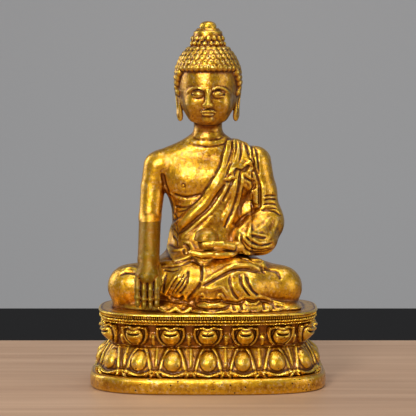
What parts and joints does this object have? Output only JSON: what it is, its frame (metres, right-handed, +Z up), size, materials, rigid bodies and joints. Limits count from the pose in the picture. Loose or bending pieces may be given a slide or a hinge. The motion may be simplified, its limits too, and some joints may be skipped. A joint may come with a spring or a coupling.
{
  "type": "buddha statue",
  "caption": "Small cast brass buddha seated on a double lotus throne, right hand reaching to the ground, a bowl in the left palm.",
  "frame": {"origin": "centre of the footprint, on the surface the statue stands on", "axes": "+Z up, the figure faces -Y, +X towards its left hand"},
  "size_m": [0.132, 0.0886, 0.203],
  "materials": {
    "brass_throne": "cast and chased, rubbed bright on the high places, dark in the recesses",
    "brass_robe": "cast and chased, rubbed bright on the high places, dark in the recesses",
    "brass_skin": "cast and chased, smoother than the robe",
    "brass_hair": "cast in small curls, dark between them",
    "brass_plate": "rolled sheet, dull",
    "steel_fasteners": "turned, zinc plated"
  },
  "bodies": {
    "statue": {"plinth": "brass_throne", "base_plate": "brass_plate", "base_plate_screws": "steel_fasteners", "lotus_lower": "brass_throne", "lotus_upper": "brass_throne", "seat": "brass_throne", "seat_dowels": "steel_fasteners", "tie_bars": "steel_fasteners", "tie_washers": "steel_fasteners", "tie_screws": "steel_fasteners", "body": "brass_robe", "head": "brass_hair", "crown_jewel": "brass_skin", "right_forearm": "brass_skin", "left_arm": "brass_robe", "left_hand": "brass_skin", "elbow_pin": "brass_skin", "neck_pin": "brass_skin", "left_shoulder_pin": "brass_skin"},
    "bowl": {"alms_bowl": "brass_skin"}
  },
  "joints": [
    {"name": "bowl_lift", "type": "slide", "parent": "statue", "child": "bowl", "axis": [0, 0, 1], "range_m": [0, 0.012]}
  ]
}
